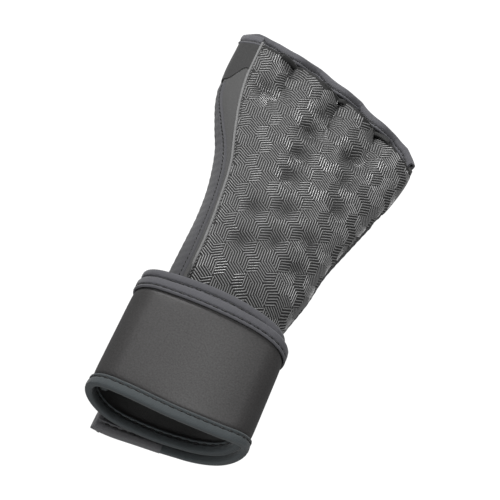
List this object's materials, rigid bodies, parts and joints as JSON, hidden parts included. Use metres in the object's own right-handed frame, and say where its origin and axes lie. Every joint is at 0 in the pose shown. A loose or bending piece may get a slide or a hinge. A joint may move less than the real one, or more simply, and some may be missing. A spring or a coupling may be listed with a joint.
{
  "type": "open-back training hand grip",
  "caption": "Open-back fingerless hand grip for the left hand, with a printed padded palm, finger channels and a long wrist strap wound round the wrist and closed by hook and loop.",
  "frame": {"origin": "middle of the footprint, on the plane that the grip lies on with its palm up", "axes": "+X towards the little finger side, +Y from the wrist towards the fingers, +Z out of the palm"},
  "size_m": [0.0953, 0.2034, 0.0452],
  "materials": {
    "palm_print": "knitted fabric with a raised grip print of fine lines",
    "foam": "soft foam",
    "lining": "matt lining cloth",
    "stretch_panel": "smooth stretch cloth over thin foam",
    "wrist_strap": "fine cloth laminated on thin foam",
    "binding_tape": "woven binding tape",
    "hook_and_loop": "hook and loop"
  },
  "bodies": {
    "grip": {"palm_panel": "palm_print", "palm_foam_pad": "foam", "palm_lining": "lining", "thumb_gusset": "stretch_panel", "knuckle_strip": "stretch_panel", "finger_edge_binding": "binding_tape", "knuckle_lower_binding": "binding_tape", "thumb_side_binding": "binding_tape", "little_finger_side_binding": "binding_tape", "heel_seam_tape": "binding_tape", "finger_web_index_middle": "lining", "finger_web_middle_ring": "lining", "finger_web_ring_little": "lining", "strap_inner_turn": "wrist_strap", "strap_inner_turn_upper_binding": "binding_tape", "strap_inner_turn_lower_binding": "binding_tape", "strap_outer_turn": "wrist_strap", "strap_outer_turn_upper_binding": "binding_tape", "strap_outer_turn_lower_binding": "binding_tape", "loop_patch": "hook_and_loop"},
    "tail": {"strap_tail": "wrist_strap", "strap_tail_upper_binding": "binding_tape", "strap_tail_lower_binding": "binding_tape", "hook_patch": "hook_and_loop"}
  },
  "joints": [
    {"name": "tail_peel", "type": "hinge", "parent": "grip", "child": "tail", "pos_m": [-0.00378, -0.07375, 0], "axis": [0, -1, 0], "range_deg": [0, 100]}
  ]
}
